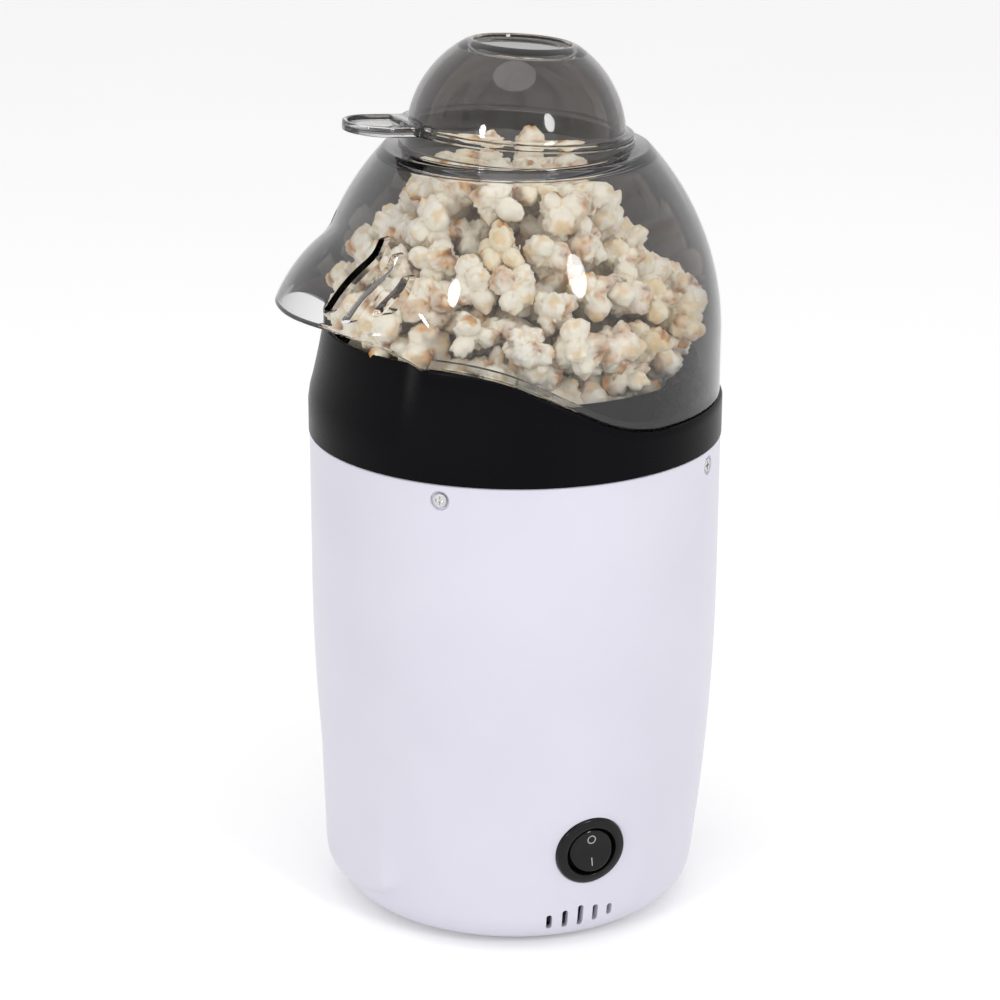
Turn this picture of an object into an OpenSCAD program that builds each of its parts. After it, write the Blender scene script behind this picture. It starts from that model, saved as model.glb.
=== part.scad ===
// Hot-air popcorn maker. Millimetres, +Z up.
// Origin: centre of the footprint, on the table. The chute faces -Y, the power
// switch faces +X and the cord inlet faces +Y.

/* [Body] */
// Outside radius of the white body where it meets the collar
body_r = 65.6; // [60:0.2:72]
// Height of the seam between white body and black collar
seam_z = 158; // [140:1:175]
// Height above which the body wall is upright
taper_z = 110; // [80:1:130]
// Radius of the long arc that draws the body in towards the foot
taper_arc = 760; // [500:10:1200]
// Radius of the rounded bottom edge
foot_fillet = 11.6; // [6:0.2:16]
// Wall thickness of the body
wall = 2.2; // [1.6:0.1:3]
// Half angle of the raised front panel under the chute
panel_half = 27.5; // [15:0.5:40]

/* [Collar and hood] */
// Height of the collar edge at the back and sides
rim_low = 171; // [165:0.5:180]
// Height of the collar edge beside the chute
rim_high = 193.2; // [182:0.2:200]
// Outside radius of the hood skirt
hood_r = 65; // [60:0.2:70]
// Height where the upright skirt turns into the dome
dome_z = 190; // [180:1:200]
// Radius of the dome arc in section
dome_arc = 85.8; // [75:0.2:100]
// Wall thickness of the clear hood
hood_wall = 2; // [1.5:0.1:3]
// Distance of the round chute centre in front of the body axis
chute_y = 31; // [25:0.5:40]
// Outside radius of the chute beak
chute_r = 46.5; // [40:0.5:52]
// Height of the chute edge at its tip
chute_tip_z = 202.5; // [195:0.5:210]

/* [Measuring cup] */
// Outside radius of the round cup
cup_r = 34.3; // [30:0.1:38]
// Height of the tilted seat of the cup, on the axis
seat_z = 253.5; // [248:0.5:260]
// Tilt of the seat, higher towards the handle
seat_tilt = 4; // [0:0.5:8]
// Distance of the handle tip from the axis
handle_reach = 57; // [48:0.5:64]

/* [Popping chamber] */
// Inside radius of the chamber
chamber_r = 39; // [34:0.5:42]
// Height of the underside of the chamber floor
chamber_z = 96; // [90:1:110]
// Number of slanted hot-air slots in the chamber wall
louvres = 18; // [10:1:24]

/* [Blower] */
// Outside radius of the motor can
motor_r = 17.8; // [14:0.1:20]
// Radius of the impeller
fan_r = 38; // [30:0.5:40]
// Number of impeller blades
blades = 11; // [7:1:17]

/* [Switch] */
// Height of the switch centre
switch_z = 35; // [28:1:50]
// Outside radius of the switch bezel
bezel_r = 11.5; // [10:0.25:13]
// Total travel of the rocker in degrees
rocker_travel = 18; // [12:1:24]

/* [Hidden] */
$fn = 96;

// Rest clearance between parts that lift off each other
clear = 0.3;
// Clearance of a screw in its hole
bite = 0.05;

// Underside of the body and base plate, above the table
base_z = 1.5;
fillet_z = base_z + foot_fillet;
fillet_lean = asin((taper_z - fillet_z) / (taper_arc - foot_fillet));
fillet_x = body_r - taper_arc + (taper_arc - foot_fillet) * cos(fillet_lean);
// Opening in the bottom of the body that the base plate closes
opening_r = body_r - 17.6;
plate_top = base_z + wall;

// Heights inside, from the collar seat downwards
flange_top = seam_z + 3.2;
sheet = 1.2;
gasket_t = 1.6;
gasket_z = flange_top - sheet - gasket_t;
shroud_top = gasket_z;
shroud_z = 66;
fan_floor_z = 46;
fan_z = 51;

// Collar, from outside to inside: its outer wall, the channel with the hood's
// spigot in it, and the ring that holds the popcorn back
collar_out = body_r + 0.3;
channel_out = collar_out - 2.5;
spigot_out = channel_out - 0.5;
spigot_in = spigot_out - 1.7;
ring_out = spigot_in - 0.5;
ring_r = ring_out - 2.5;
channel_z = seam_z + 5.4;
lip_z = seam_z + 26.5;
front_half = 43;

// Plug of the collar in the top of the body
plug_out = body_r - wall - clear;
plug_in = plug_out - 4.9;
plug_depth = 10;

// Flanges that hang from the collar, their screws, and the shroud inside the screws
seat_r = plug_in - 2.2;
flange_hole_r = seat_r - 3.5;
shroud_r = flange_hole_r - 5.5;
// Lane of the wiring between the flanges and the body wall
lane_r = seat_r + 1.4;

screw_angles = [-43.5, 223.5, 43.5, 136.5];
collar_screw_z = seam_z - 5.2;
screw_recess = 1.1;
boss_r = opening_r - 4;
boss_angles = [45, 135, 225, 315];
third = [30, 150, 270];

// Outside radius of the body wall at height z
function wall_r(z) =
    z >= taper_z ? body_r : body_r - taper_arc + sqrt(pow(taper_arc, 2) - pow(taper_z - z, 2));
// Lean of the body wall at height z
function wall_lean(z) = z >= taper_z ? 0 : asin((taper_z - z) / taper_arc);

// Puts its child on the outside of the body, with +X pointing straight out of the wall
module on_wall(azimuth, z) {
    rotate([0, 0, azimuth])
        translate([wall_r(z), 0, z])
            rotate([0, wall_lean(z), 0])
                children();
}

// Round bar along +X from x0 to x1
module bar_x(r, x0, x1) {
    translate([x0, 0, 0])
        rotate([0, 90, 0])
            cylinder(r = r, h = x1 - x0);
}

module tube(r_out, r_in, z0, z1) {
    translate([0, 0, z0])
        difference() {
            cylinder(r = r_out, h = z1 - z0);
            translate([0, 0, -1])
                cylinder(r = r_in, h = z1 - z0 + 2);
        }
}

// Part of a turn of a flat ring, centred on an azimuth
module tube_sector(r_out, r_in, z0, z1, azimuth, half) {
    rotate([0, 0, azimuth - half])
        rotate_extrude(angle = 2 * half)
            translate([r_in, z0])
                square([r_out - r_in, z1 - z0]);
}

// Cross-head screw: the head's underside is at z = 0 and the shank goes down
module screw(shank_r, length, head_r, head_h) {
    difference() {
        union() {
            cylinder(r1 = head_r, r2 = head_r - head_h / 3, h = head_h);
            translate([0, 0, -length])
                cylinder(r = shank_r, h = length + head_h / 2);
        }
        for (a = [0, 90])
            rotate([0, 0, a])
                translate([-head_r * 0.6, -head_r * 0.12, head_h * 0.4])
                    cube([head_r * 1.2, head_r * 0.24, head_h]);
    }
}

// Round wire along a list of points, with rounded elbows
module wire(points, r) {
    for (i = [0:len(points) - 2]) {
        a = points[i];
        d = points[i + 1] - a;
        length = norm(d);
        translate(a)
            rotate([0, acos(d[2] / length), atan2(d[1], d[0])])
                cylinder(r = r, h = length, $fn = 24);
        if (i > 0)
            translate(a)
                sphere(r = r * 1.2, $fn = 24);
    }
}

// ---- body ----

// Points of an arc about (cx, cz) from angle a0 to a1, measured from +X
function arc(cx, cz, r, a0, a1, steps) =
    [for (i = [0:steps]) let (a = a0 + (a1 - a0) * i / steps) [cx + r * cos(a), cz + r * sin(a)]];

// Half section of the body, its outline drawn in by inset
module body_section(inset) {
    polygon(concat(
        [[0, base_z + inset]],
        arc(fillet_x, fillet_z, foot_fillet - inset, -90, -fillet_lean, 8),
        arc(body_r - taper_arc, taper_z, taper_arc - inset, -fillet_lean * 0.9, 0, 9),
        [[body_r - inset, seam_z], [0, seam_z]]));
}

module body_solid(inset) {
    rotate_extrude($fn = 180)
        body_section(inset);
}

// Raised panel down the front, proud of the taper, with a rounded lower end
module front_panel() {
    panel_r = body_r - 3.4;
    panel_z = base_z + 9;
    round_r = 4;
    back = body_r - 13.6;
    top_z = taper_z + 12;
    rotate([0, 0, -90 - panel_half])
        rotate_extrude(angle = 2 * panel_half, $fn = 180)
            difference() {
                union() {
                    polygon([[back, panel_z + round_r], [panel_r, panel_z + round_r],
                        [body_r, top_z], [back + 8, top_z]]);
                    translate([panel_r - round_r, panel_z + round_r])
                        circle(r = round_r, $fn = 48);
                    translate([back, panel_z])
                        square([panel_r - round_r - back, round_r]);
                }
                polygon([[back - 12, panel_z - 1], [back + 4, panel_z - 1], [back + 10, top_z + 1],
                    [back - 12, top_z + 1]]);
            }
}

// Five upright air slots under the switch, longest in the middle, a pitch in degrees apart
module side_vents() {
    pitch = 5;
    slot_r = 0.95;
    x0 = body_r - 15.6;
    depth = 14;
    for (i = [-2:2]) {
        half = 2.9 - 0.75 * abs(i) - 0.15 * i;
        rotate([0, 0, -2 + i * pitch])
            translate([0, 0, base_z + 10 + 0.35 * i - 0.25 * abs(i)]) {
                for (s = [-1, 1])
                    translate([0, 0, s * half])
                        bar_x(slot_r, x0, x0 + depth);
                translate([x0, -slot_r, -half])
                    cube([depth, 2 * slot_r, 2 * half]);
            }
    }
}

module base_bosses() {
    for (a = boss_angles)
        rotate([0, 0, a])
            difference() {
                union() {
                    translate([boss_r, 0, plate_top])
                        cylinder(r = 4, h = 15);
                    translate([boss_r, -1.2, plate_top])
                        cube([20, 2.4, 15]);
                }
                translate([boss_r, 0, plate_top - 1])
                    cylinder(r = 1.5 + bite, h = 13);
            }
}

module body_shell() {
    color("white")
        difference() {
            union() {
                difference() {
                    union() {
                        body_solid(0);
                        front_panel();
                    }
                    body_solid(wall);
                    cylinder(r = opening_r, h = plate_top + 1);
                    translate([0, 0, seam_z - 1])
                        cylinder(r = body_r - wall, h = 3);
                }
                intersection() {
                    base_bosses();
                    body_solid(wall / 2);
                }
            }
            side_vents();
            on_wall(0, switch_z) {
                bar_x(bezel_r + 0.2, -1.5, 4);
                bar_x(10, -12, 4);
            }
            on_wall(90, gland_z) {
                bar_x(8.2, -0.9, 4);
                bar_x(6.2, -8, 4);
                bar_x(10.5, -8, -0.9 - 1.6);
            }
            for (a = screw_angles)
                rotate([0, 0, a])
                    translate([0, 0, collar_screw_z]) {
                        bar_x(1.7, plug_out - 3, body_r + 4);
                        bar_x(3.1, body_r - screw_recess, body_r + 4);
                    }
        }
}

// ---- collar ----

// Everything below the sweeping rim line, moved up by dz
module below_rim(dz) {
    bend = 60;
    lean = atan(0.5);
    far = 90;
    low = 100;
    y0 = 18.9 - collar_out;
    y1 = y0 + bend * sin(lean);
    drop = bend * (1 - cos(lean));
    y3 = y1 + (rim_high - rim_low - 2 * drop) / tan(lean) + bend * sin(lean);
    translate([0, 0, dz])
        rotate([90, 0, 90])
            translate([0, 0, -far])
                linear_extrude(height = 2 * far)
                    polygon(concat(
                        [[-far, low], [-far, rim_high]],
                        arc(y0, rim_high - bend, bend, 90, 90 - lean, 9),
                        arc(y3, rim_low + bend, bend, 270 - lean, 270, 9),
                        [[far, rim_low - 0.6], [far, low]]));
}

// Wedge of space in front of the body, half as wide as the given angle each way
module front_wedge(half) {
    rotate([0, 0, -90 - half])
        rotate_extrude(angle = 2 * half)
            translate([30, 100])
                square([70, 140]);
}

module collar_section() {
    // Outer wall, standing on the body
    translate([channel_out, seam_z])
        square([collar_out - channel_out, rim_high - seam_z]);
    translate([plug_out - 0.5, seam_z])
        square([channel_out + 1 - plug_out, channel_z - 1 - seam_z]);
    // Plug, floor of the channel, ring and funnel
    translate([plug_in, seam_z - plug_depth])
        square([plug_out - plug_in, flange_top + 1 - seam_z + plug_depth]);
    translate([chamber_r + 0.5, flange_top])
        square([channel_out + 0.2 - chamber_r, channel_z - flange_top]);
    translate([ring_r, flange_top + 0.6])
        square([ring_out - ring_r, lip_z - flange_top - 0.6]);
    polygon([[chamber_r + 0.5, flange_top], [chamber_r + 0.5, channel_z], [ring_r, lip_z - 3],
        [ring_r + 1, lip_z - 3], [ring_r + 1, lip_z - 6], [chamber_r + 3.4, flange_top]]);
}

// Front wall below the chute, leaning in as it rises
module front_wall() {
    top = rim_high - 0.4;
    half = front_half + 0.6;
    inner = ring_r + 0.2;
    rotate([0, 0, -90 - half])
        rotate_extrude(angle = 2 * half, $fn = 180)
            polygon([[collar_out, channel_z - 1.6], [collar_out, seam_z + 11], [collar_out - 1.7, seam_z + 18],
                [collar_out - 3.5, seam_z + 26], [ring_r + 2.4, top], [inner, top], [inner, lip_z - 6],
                [channel_out - 1.5, channel_z - 1.6]]);
}

module collar() {
    color([0.12, 0.12, 0.13])
        difference() {
            union() {
                difference() {
                    intersection() {
                        rotate_extrude($fn = 180)
                            collar_section();
                        below_rim(0);
                    }
                    difference() {
                        front_wedge(front_half);
                        cylinder(r = ring_out - 0.3, h = 300);
                        cylinder(r = 100, h = channel_z - 1);
                    }
                }
                front_wall();
                for (a = screw_angles)
                    rotate([0, 0, a])
                        translate([0, 0, collar_screw_z])
                            bar_x(3.8, plug_in - 1.5, plug_out - 0.5);
                for (a = third)
                    rotate([0, 0, a])
                        translate([flange_hole_r, 0, flange_top])
                            cylinder(r = 3.4, h = 9);
            }
            for (a = screw_angles)
                rotate([0, 0, a])
                    translate([0, 0, collar_screw_z])
                        bar_x(1.5 + bite, plug_in - 6, plug_out + 4);
            for (a = third)
                rotate([0, 0, a])
                    translate([flange_hole_r, 0, flange_top - 1])
                        cylinder(r = 1.5 + bite, h = 8);
        }
}

// ---- hood ----

// Half section of the dome above the rim, its outline drawn in by inset
module dome_section(inset) {
    neck_z = seat_z - (inset > 0 ? 7.7 : 4.5);
    r = dome_arc - inset;
    polygon(concat(
        [[0, seam_z], [hood_r - inset, seam_z]],
        arc(hood_r - dome_arc, dome_z, r, 0, asin((neck_z - dome_z) / r), 24),
        [[0, neck_z]]));
}

module chute_solid(inset) {
    ball_z = chute_tip_z - 19.3;
    ball_r = chute_r + 3.9;
    translate([0, -chute_y, 0])
        intersection() {
            translate([0, 0, ball_z])
                sphere(r = ball_r - inset, $fn = 180);
            translate([0, 0, seam_z + 20])
                cylinder(r = chute_r - inset, h = 60, $fn = 180);
        }
}

// Space under the arched edge of the chute mouth
module below_mouth() {
    bend = 45;
    rotate([90, 0, 90])
        translate([0, 0, -90])
            linear_extrude(height = 180)
                intersection() {
                    union() {
                        translate([-chute_y - chute_r, chute_tip_z - bend])
                            circle(r = bend, $fn = 360);
                        translate([-chute_y - chute_r - 30, 100])
                            square([60, chute_tip_z - bend - 100]);
                    }
                    translate([-chute_y - chute_r - 10, 100])
                        square([39.2, 110]);
                }
}

// Three upright steam slots through each side of the chute
module chute_slots() {
    slot_r = 1.2;
    y0 = chute_y + 9;
    // Distance from the middle, and lower and upper end above the chute's tip
    slots = [[20, 4.2, 26], [27, 2.5, 22.5], [33, 5.5, 17]];
    for (s = [-1, 1])
        for (slot = slots) {
            for (z = [slot[1] + slot_r, slot[2] - slot_r])
                translate([s * slot[0], -y0, chute_tip_z + z])
                    rotate([90, 0, 0])
                        cylinder(r = slot_r, h = chute_r, $fn = 32);
            translate([s * slot[0] - slot_r, -y0 - chute_r, chute_tip_z + slot[1] + slot_r])
                cube([2 * slot_r, chute_r, slot[2] - slot[1] - 2 * slot_r]);
        }
}

// Puts its child on the tilted seat of the measuring cup
module on_seat() {
    translate([0, 0, seat_z])
        rotate([-seat_tilt, 0, 0])
            children();
}

// Neck that the measuring cup stands in
neck_in = cup_r + clear;
neck_r = neck_in + 2.2;

module hood() {
    color([0.75, 0.8, 0.85, 0.4])
        difference() {
            union() {
                difference() {
                    union() {
                        rotate_extrude($fn = 180)
                            dome_section(0);
                        chute_solid(0);
                        on_seat()
                            translate([0, 0, -10])
                                cylinder(r = neck_r, h = 10);
                    }
                    rotate_extrude($fn = 180)
                        dome_section(hood_wall);
                    chute_solid(hood_wall);
                    below_rim(clear);
                    below_mouth();
                }
                difference() {
                    union() {
                        intersection() {
                            tube(spigot_out, spigot_in, channel_z, dome_z + 8);
                            below_rim(2.5);
                        }
                        difference() {
                            intersection() {
                                tube(max(spigot_out - 0.1, hood_r - 0.4),
                                    min(spigot_in + 0.1, hood_r - hood_wall + 0.4), channel_z, dome_z + 7);
                                below_rim(2.1);
                            }
                            below_rim(clear);
                        }
                    }
                    below_rim(-5);
                    front_wedge(front_half + 1);
                }
                for (a = [-30, 60, 120, 210])
                    intersection() {
                        tube_sector(spigot_out - 0.1, spigot_in + 0.1, channel_z, rim_high, a, 6);
                        below_rim(-3);
                    }
            }
            on_seat()
                translate([0, 0, -30])
                    cylinder(r = neck_in, h = 60);
            on_seat()
                cylinder(r = 60, h = 40);
            chute_slots();
        }
}

// ---- measuring cup ----

// Tongue-shaped grip, drawn in by inset
module grip(inset) {
    half = 12 - inset;
    translate([0, -handle_reach + 12])
        circle(r = half);
    translate([-half, -handle_reach + 12])
        square([2 * half, handle_reach - 12]);
}

module measuring_cup() {
    cup_wall = 1.8;
    cup_mid = -2.5;
    foot_r = 16.7;
    foot_z = cup_mid + sqrt(pow(cup_r, 2) - pow(foot_r, 2));
    color([0.8, 0.85, 0.9, 0.4])
        on_seat()
            difference() {
                union() {
                    intersection() {
                        translate([0, 0, cup_mid])
                            sphere(r = cup_r, $fn = 180);
                        cylinder(r = 40, h = foot_z);
                    }
                    translate([0, 0, -6])
                        cylinder(r = cup_r, h = 7);
                    cylinder(r = neck_r - 0.2, h = 1.6);
                    linear_extrude(height = 3)
                        grip(0);
                }
                intersection() {
                    translate([0, 0, cup_mid])
                        sphere(r = cup_r - cup_wall, $fn = 180);
                    translate([0, 0, -10])
                        cylinder(r = 40, h = foot_z + 10 - 3.2);
                }
                translate([0, 0, -7])
                    cylinder(r = cup_r - cup_wall, h = 7 + cup_mid);
                translate([0, 0, foot_z - 1.4])
                    cylinder(r = foot_r - 1.6, h = 3);
                translate([0, 0, 1.4])
                    linear_extrude(height = 4)
                        difference() {
                            grip(1.6);
                            circle(r = neck_r + 1.6);
                        }
            }
}

// ---- popping chamber and heater ----

module popping_chamber() {
    out = chamber_r + sheet;
    color([0.78, 0.79, 0.8])
        difference() {
            union() {
                translate([0, 0, chamber_z])
                    cylinder(r = out, h = flange_top - chamber_z);
                translate([0, 0, flange_top - sheet])
                    cylinder(r = seat_r, h = sheet);
            }
            translate([0, 0, chamber_z + sheet])
                difference() {
                    cylinder(r = chamber_r, h = flange_top);
                    cylinder(r1 = 24, r2 = 6, h = 9);
                }
            translate([0, 0, chamber_z - 1])
                cylinder(r1 = 25, r2 = 4.8, h = 10.1);
            for (i = [0:louvres - 1])
                rotate([0, 0, (i + 0.5) * 360 / louvres])
                    translate([chamber_r - 4, 0, chamber_z + 12])
                        rotate([35, 0, 0])
                            translate([0, -0.9, -6])
                                cube([8, 1.8, 12]);
            for (a = third)
                rotate([0, 0, a])
                    translate([flange_hole_r, 0, flange_top - 5])
                        cylinder(r = 1.7, h = 6);
        }
}

module chamber_gasket() {
    color([0.85, 0.82, 0.74])
        difference() {
            tube(seat_r, chamber_r + sheet + 0.4, gasket_z, gasket_z + gasket_t);
            for (a = third)
                rotate([0, 0, a])
                    translate([flange_hole_r, 0, gasket_z - 1])
                        cylinder(r = 1.7, h = 4);
        }
}

thermostat_z = 112;
thermostat_a = 180;
fuse_z = 106;
fuse_a = 225;

module heater_shroud() {
    out = shroud_r + 1;
    color([0.7, 0.71, 0.72])
        difference() {
            union() {
                tube(out, shroud_r, shroud_z, shroud_top);
                tube(seat_r, shroud_r, shroud_top - 1, shroud_top);
                tube(seat_r, shroud_r, shroud_z, shroud_z + 1);
            }
            for (a = third)
                rotate([0, 0, a])
                    translate([flange_hole_r, 0, shroud_z - 5])
                        cylinder(r = 1.7, h = shroud_top);
            rotate([0, 0, thermostat_a])
                translate([0, 0, thermostat_z]) {
                    bar_x(6.6, shroud_r - 7, shroud_r + 3);
                    for (s = [-1, 1])
                        rotate([0, 0, s * 13])
                            bar_x(1.25, shroud_r - 7, shroud_r + 3);
                }
            rotate([0, 0, fuse_a])
                for (s = [-1, 1])
                    rotate([0, 0, s * 8])
                        translate([0, 0, fuse_z])
                            bar_x(1.05, shroud_r - 7, shroud_r + 3);
            rotate([0, 0, 250])
                translate([0, 0, 74])
                    bar_x(4, shroud_r - 7, shroud_r + 3);
        }
}

// Heater turns: radii of the three rings, on two levels
coil_radii = [shroud_r - 7, shroud_r - 14, shroud_r - 21];
coil_levels = [76, 86];
coil_t = 1.3;

module mica_plate(azimuth, lower) {
    half_t = 0.4;
    z0 = 68;
    z1 = 92;
    mid = (z0 + z1) / 2;
    rotate([0, 0, azimuth])
        difference() {
            translate([-shroud_r + 0.2, -half_t, z0 - 1])
                cube([2 * shroud_r - 0.4, 2 * half_t, z1 - z0 + 1]);
            for (z = coil_levels)
                for (r = coil_radii)
                    for (s = [-1, 1])
                        translate([s * r, 2, z])
                            rotate([90, 0, 0])
                                cylinder(r = coil_t + 0.15, h = 4, $fn = 32);
            translate([-half_t - 0.05, -1, lower ? mid : z0 - 2])
                cube([2 * half_t + 0.1, 2, lower ? z1 - mid + 1 : mid - z0 + 2]);
        }
}

module mica_plate_lengthwise() {
    color([0.85, 0.78, 0.62])
        mica_plate(0, true);
}

module mica_plate_crosswise() {
    color([0.85, 0.78, 0.62])
        mica_plate(90, false);
}

module heating_coil() {
    start = 60;
    turn = 330;
    color([0.6, 0.5, 0.42]) {
        for (k = [0:1]) {
            z = coil_levels[k];
            for (i = [0:2])
                rotate([0, 0, start])
                    rotate_extrude(angle = turn)
                        translate([coil_radii[i], z])
                            circle(r = coil_t, $fn = 24);
            for (i = [0:1])
                rotate([0, 0, start + (i == 0 ? 0 : turn)])
                    translate([0, 0, z])
                        bar_x(coil_t * 0.9, coil_radii[i + 1], coil_radii[i]);
        }
        rotate([0, 0, start])
            translate([coil_radii[2], 0, coil_levels[0]])
                cylinder(r = coil_t * 0.9, h = coil_levels[1] - coil_levels[0]);
    }
}

module thermostat() {
    color([0.9, 0.88, 0.84])
        rotate([0, 0, thermostat_a])
            difference() {
                union() {
                    tube_sector(shroud_r + 2, shroud_r + 1, thermostat_z - 9, thermostat_z + 9, 0, 17);
                    translate([0, 0, thermostat_z]) {
                        bar_x(6.3, shroud_r - 1, shroud_r + 6);
                        bar_x(8, shroud_r + 1.5, shroud_r + 8);
                        for (s = [-1, 1])
                            translate([shroud_r + 7, s * 4 - 2.4, -0.4])
                                cube([6.5, 4.8, 0.8]);
                    }
                }
                for (s = [-1, 1])
                    rotate([0, 0, s * 13])
                        translate([0, 0, thermostat_z])
                            bar_x(1.25, shroud_r - 7, shroud_r + 13);
            }
}

module thermostat_rivets() {
    color([0.75, 0.75, 0.76])
        for (s = [-1, 1])
            rotate([0, 0, thermostat_a + s * 13])
                translate([0, 0, thermostat_z]) {
                    bar_x(1.2, shroud_r - 0.6, shroud_r + 2.6);
                    bar_x(2, shroud_r + 2, shroud_r + 3);
                    bar_x(1.9, shroud_r - 1.2, shroud_r - 0.1);
                }
}

// Distance of the fuse from the axis: its clip's ring just meets the clip's plate
fuse_x = shroud_r + 3.9;

module thermal_fuse() {
    color([0.85, 0.83, 0.78])
        rotate([0, 0, fuse_a])
            translate([fuse_x, 0, fuse_z]) {
                translate([0, 0, -6])
                    cylinder(r = 2, h = 12, $fn = 48);
                translate([0, 0, -11])
                    cylinder(r = 0.6, h = 22, $fn = 24);
            }
}

module fuse_clip() {
    color([0.7, 0.7, 0.72])
        rotate([0, 0, fuse_a]) {
            tube_sector(shroud_r + 1.8, shroud_r + 1, fuse_z - 2.5, fuse_z + 2.5, 0, 11);
            translate([fuse_x, 0, 0])
                tube(2.75, 2 + bite, fuse_z - 2.2, fuse_z + 2.2);
            for (s = [-1, 1])
                rotate([0, 0, s * 8])
                    translate([0, 0, fuse_z]) {
                        bar_x(1, shroud_r - 0.5, shroud_r + 1.6);
                        bar_x(1.5, shroud_r + 1.5, shroud_r + 2.4);
                    }
        }
}

// ---- blower ----

module blade_shape() {
    intersection() {
        difference() {
            translate([fan_r / 2, -26])
                circle(r = 32);
            translate([fan_r / 2, -26])
                circle(r = 31);
        }
        difference() {
            circle(r = fan_r - 0.4);
            circle(r = 7);
        }
        translate([0, -2])
            square([fan_r, 20]);
    }
}

module fan_impeller() {
    color([0.2, 0.2, 0.22])
        translate([0, 0, fan_z])
            difference() {
                union() {
                    cylinder(r = fan_r, h = 1.2);
                    cylinder(r = 7.5, h = 11);
                    for (i = [0:blades - 1])
                        rotate([0, 0, i * 360 / blades])
                            translate([0, 0, 0.6])
                                linear_extrude(height = 9.4)
                                    blade_shape();
                }
                translate([0, 0, -1])
                    cylinder(r = 1.6, h = 14);
            }
}

module fan_housing() {
    wall_in = fan_r + 3;
    color([0.3, 0.3, 0.32])
        difference() {
            union() {
                tube(wall_in + 2, wall_in, fan_floor_z, shroud_z);
                tube(seat_r, wall_in, shroud_z - 2.2, shroud_z);
                translate([0, 0, fan_floor_z])
                    cylinder(r = wall_in + 1, h = 2);
            }
            translate([0, 0, fan_floor_z - 1])
                cylinder(r = 6.6, h = 4);
            for (i = [0:5])
                tube_sector(34, 20.5, fan_floor_z - 1, fan_floor_z + 3, i * 60, 25);
            for (s = [-1, 1])
                translate([s * 12.5, 0, fan_floor_z - 1])
                    cylinder(r = 1.7, h = 4);
            for (a = third)
                rotate([0, 0, a])
                    translate([flange_hole_r, 0, shroud_z - 5])
                        cylinder(r = 1.7, h = 8);
        }
}

module fan_housing_screws() {
    color([0.7, 0.7, 0.72])
        for (a = third)
            rotate([0, 0, a])
                translate([flange_hole_r, 0, 0]) {
                    translate([0, 0, shroud_z - 2.2])
                        rotate([180, 0, 0])
                            screw(1.5, 8, 2.7, 1.9);
                    difference() {
                        translate([0, 0, shroud_z + 1])
                            cylinder(r = 3, h = 2.4, $fn = 6);
                        translate([0, 0, shroud_z])
                            cylinder(r = 1.45, h = 5);
                    }
                }
}

module flange_screws() {
    color([0.7, 0.7, 0.72])
        for (a = third)
            rotate([0, 0, a])
                translate([flange_hole_r, 0, shroud_top - 1])
                    rotate([180, 0, 0])
                        screw(1.5, 9, 2.7, 1.9);
}

module collar_screws() {
    color([0.6, 0.6, 0.62])
        for (a = screw_angles)
            rotate([0, 0, a])
                translate([body_r - screw_recess, 0, collar_screw_z])
                    rotate([0, 90, 0])
                        screw(1.5, 7, 2.4, 0.9);
}

motor_z = 16;
motor_top = fan_floor_z;

module motor_can() {
    color([0.65, 0.66, 0.68])
        difference() {
            union() {
                translate([0, 0, motor_z])
                    cylinder(r = motor_r, h = motor_top - motor_z);
                translate([0, 0, motor_top - 0.5])
                    cylinder(r = 6.3, h = 3.3);
            }
            translate([0, 0, motor_z - 1])
                cylinder(r = motor_r - 1.2, h = motor_top - motor_z - 0.2);
            cylinder(r = 1.6 + bite, h = 60);
            for (s = [-1, 1])
                translate([s * 12.5, 0, motor_top - 3])
                    cylinder(r = 1.3 + bite, h = 5);
        }
}

module motor_magnets() {
    color([0.25, 0.25, 0.26])
        for (a = [90, 270])
            tube_sector(motor_r - 1.2 - 0.02, 12.4, motor_z + 6, motor_top - 4.5, a, 62);
}

module motor_armature() {
    color([0.55, 0.42, 0.3])
        difference() {
            union() {
                translate([0, 0, motor_z + 8])
                    cylinder(r = 11.9, h = 15);
                translate([0, 0, motor_z + 3])
                    cylinder(r = 4.5, h = 22);
            }
            cylinder(r = 1.6, h = 60);
            for (i = [0:4])
                rotate([0, 0, i * 72])
                    translate([9, -0.8, motor_z + 7])
                        cube([5, 1.6, 17]);
        }
}

module motor_shaft() {
    color([0.8, 0.8, 0.82])
        translate([0, 0, motor_z - 1.5])
            cylinder(r = 1.6, h = fan_z + 11.8 - motor_z + 1.5);
}

module motor_end_cap() {
    color([0.1, 0.1, 0.1]) {
        difference() {
            union() {
                translate([0, 0, motor_z - 2])
                    cylinder(r = motor_r, h = 2);
                translate([0, 0, motor_z - 1])
                    cylinder(r = motor_r - 1.25, h = 2.6);
            }
            translate([0, 0, motor_z - 5])
                cylinder(r = 1.6 + bite, h = 12);
        }
    }
}

module motor_screws() {
    color([0.7, 0.7, 0.72])
        for (s = [-1, 1])
            translate([s * 12.5, 0, fan_floor_z + 2])
                screw(1.3, 4.6, 2.4, 1.5);
}

module rectifier_board() {
    color([0.25, 0.4, 0.25])
        difference() {
            union() {
                translate([0, 0, motor_z - 6.1])
                    cylinder(r = 15, h = 1.6);
                for (s = [-1, 1])
                    translate([-1, s * 11 - 0.4, motor_z - 5])
                        cube([2, 0.8, 3]);
            }
            translate([0, 0, motor_z - 7])
                cylinder(r = 2.5, h = 4);
        }
}

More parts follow.
